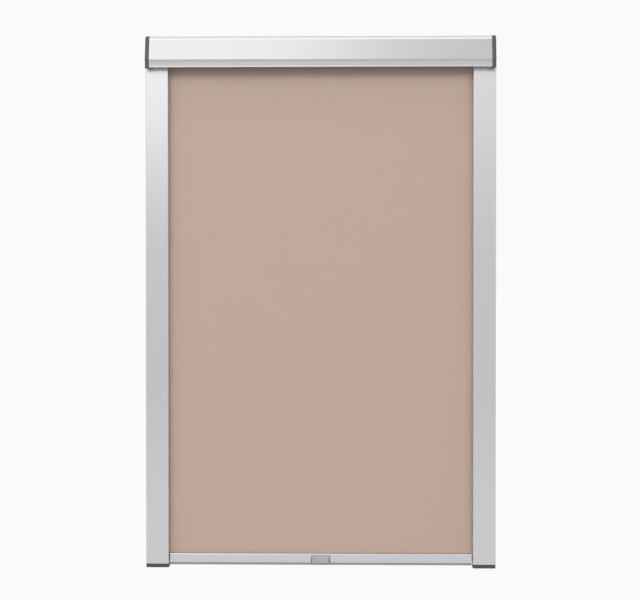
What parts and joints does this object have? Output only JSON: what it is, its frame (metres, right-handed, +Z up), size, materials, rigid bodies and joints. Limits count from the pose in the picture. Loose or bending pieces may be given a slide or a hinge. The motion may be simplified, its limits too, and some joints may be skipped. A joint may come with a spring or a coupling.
{
  "type": "blackout roller blind",
  "caption": "Spring-roller blackout blind for a roof window: aluminium cassette, side rails with seals, taupe fabric and a sliding bottom bar with a pull handle.",
  "frame": {"origin": "on the flat back of the cassette, half way up it, where it rests on the window frame", "axes": "+X to the right across the window seen from the room, +Y out of the back towards the window, +Z up along the rails"},
  "size_m": [0.481, 0.0391, 0.7301],
  "materials": {
    "aluminium": "satin anodised extrusion",
    "bar_aluminium": "satin anodised extrusion, bright along its top edge",
    "dark_plastic": "moulded, dark grey, fine matt texture",
    "grey_plastic": "moulded, mid grey, satin",
    "white_plastic": "moulded, natural white",
    "black_plastic": "moulded, black",
    "blackout_cloth": "fine plain weave, taupe, coated on the window side",
    "pile": "dense woven pile",
    "felt": "pressed felt",
    "rubber": "soft extruded seal",
    "zinc_steel": "bright zinc plate",
    "spring_steel": "oiled spring steel"
  },
  "bodies": {
    "frame": {"cassette_shell": "aluminium", "left_end_cap": "dark_plastic", "right_end_cap": "dark_plastic", "left_upper_cap_screw": "zinc_steel", "right_upper_cap_screw": "zinc_steel", "left_lower_cap_screw": "zinc_steel", "right_lower_cap_screw": "zinc_steel", "left_mounting_bracket": "spring_steel", "right_mounting_bracket": "spring_steel", "left_side_rail": "aluminium", "right_side_rail": "aluminium", "left_front_pile_seal": "pile", "right_front_pile_seal": "pile", "left_back_pile_seal": "pile", "right_back_pile_seal": "pile", "left_rail_end_cap": "dark_plastic", "right_rail_end_cap": "dark_plastic", "idler_bush": "white_plastic", "spring_spindle": "zinc_steel", "spring_anchor": "white_plastic", "torsion_spring": "spring_steel"},
    "roller": {"roller_tube": "zinc_steel", "fabric_roll": "blackout_cloth", "fabric_spline": "white_plastic", "idler_plug": "black_plastic", "idler_pin": "zinc_steel", "spindle_plug": "black_plastic", "drive_plug": "black_plastic"},
    "bar": {"bottom_bar": "bar_aluminium", "keeper_rod": "white_plastic", "bottom_seal": "rubber", "pull_handle": "grey_plastic", "left_slider": "grey_plastic", "right_slider": "grey_plastic", "left_brake_pad": "felt", "right_brake_pad": "felt", "left_brake_spring": "spring_steel", "right_brake_spring": "spring_steel", "blackout_fabric": "blackout_cloth"}
  },
  "joints": [
    {"name": "bar_slide", "type": "slide", "parent": "frame", "child": "bar", "axis": [0, 0, 1], "range_m": [0, 0.661], "deforming": ["blackout_fabric"]},
    {"name": "roller_spin", "type": "hinge", "parent": "frame", "child": "roller", "pos_m": [0, -0.0196, -0.001], "axis": [1, 0, 0], "range_deg": [0, 3240]}
  ],
  "couplings": [
    {"joint": "roller_spin", "follows": "bar_slide", "rad_per_m": 85.54}
  ]
}
